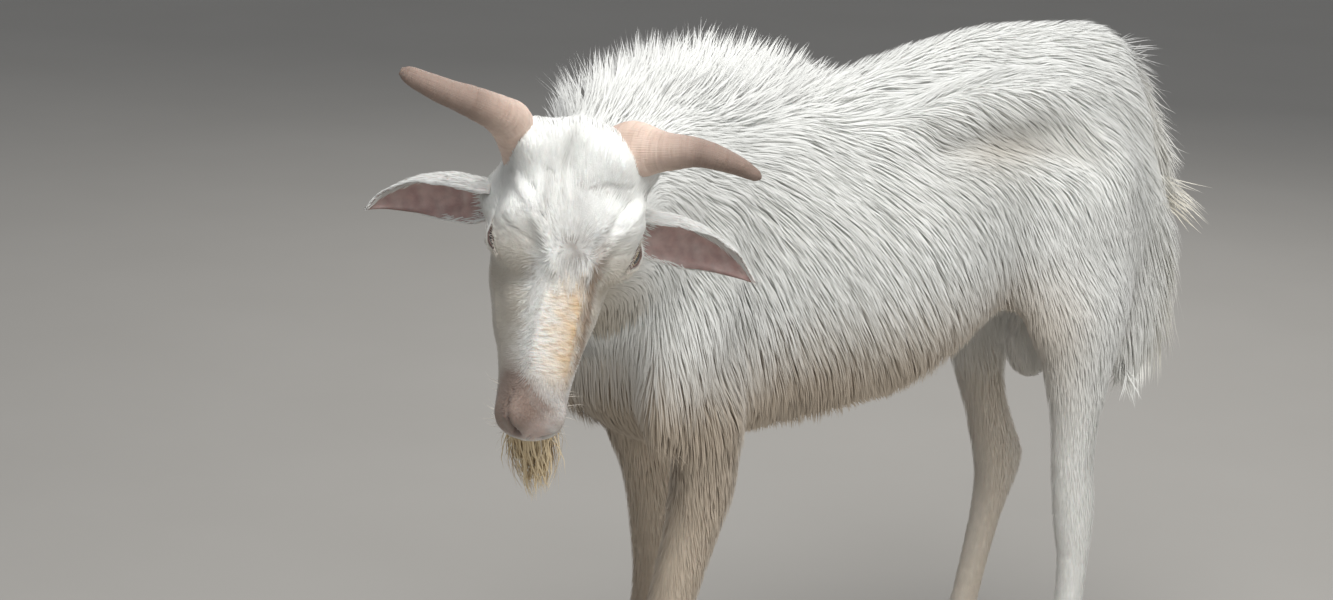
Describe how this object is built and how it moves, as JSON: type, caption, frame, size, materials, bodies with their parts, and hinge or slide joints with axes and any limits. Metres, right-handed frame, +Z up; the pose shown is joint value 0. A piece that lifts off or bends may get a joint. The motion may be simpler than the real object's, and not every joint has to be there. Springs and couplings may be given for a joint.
{
  "type": "goat",
  "caption": "White horned goat standing still, head lowered and turned to its left, with a shaggy coat, an upright mane and a short beard.",
  "frame": {"origin": "on the floor under the middle of the model's box", "axes": "+Z up, -Y the way the goat's body faces, +X its left side"},
  "size_m": [0.4282, 1.0026, 0.7403],
  "materials": {
    "coat": "matt hair, white with a faint cream and grey soiling low down",
    "beard_hair": "matt hair, straw-coloured",
    "ear": "bare pink skin inside, short white hair outside",
    "horn": "salmon-tan keratin with growth rings, darker at the tip",
    "eye": "wet and glossy, pale amber with a level slot for a pupil",
    "hoof": "grey-brown keratin, satin"
  },
  "bodies": {
    "root": {"trunk": "coat", "neck": "coat", "head": "coat", "foreleg_left": "coat", "foreleg_right": "coat", "hindleg_left": "coat", "hindleg_right": "coat", "tail": "coat", "beard": "beard_hair", "ear_left": "ear", "horn_left": "horn", "eye_left": "eye", "claw_fore_left_a": "hoof", "dewclaw_fore_left_a": "hoof", "claw_fore_left_b": "hoof", "dewclaw_fore_left_b": "hoof", "claw_hind_left_a": "hoof", "dewclaw_hind_left_a": "hoof", "claw_hind_left_b": "hoof", "dewclaw_hind_left_b": "hoof", "ear_right": "ear", "horn_right": "horn", "eye_right": "eye", "claw_fore_right_a": "hoof", "dewclaw_fore_right_a": "hoof", "claw_fore_right_b": "hoof", "dewclaw_fore_right_b": "hoof", "claw_hind_right_a": "hoof", "dewclaw_hind_right_a": "hoof", "claw_hind_right_b": "hoof", "dewclaw_hind_right_b": "hoof"}
  },
  "joints": []
}
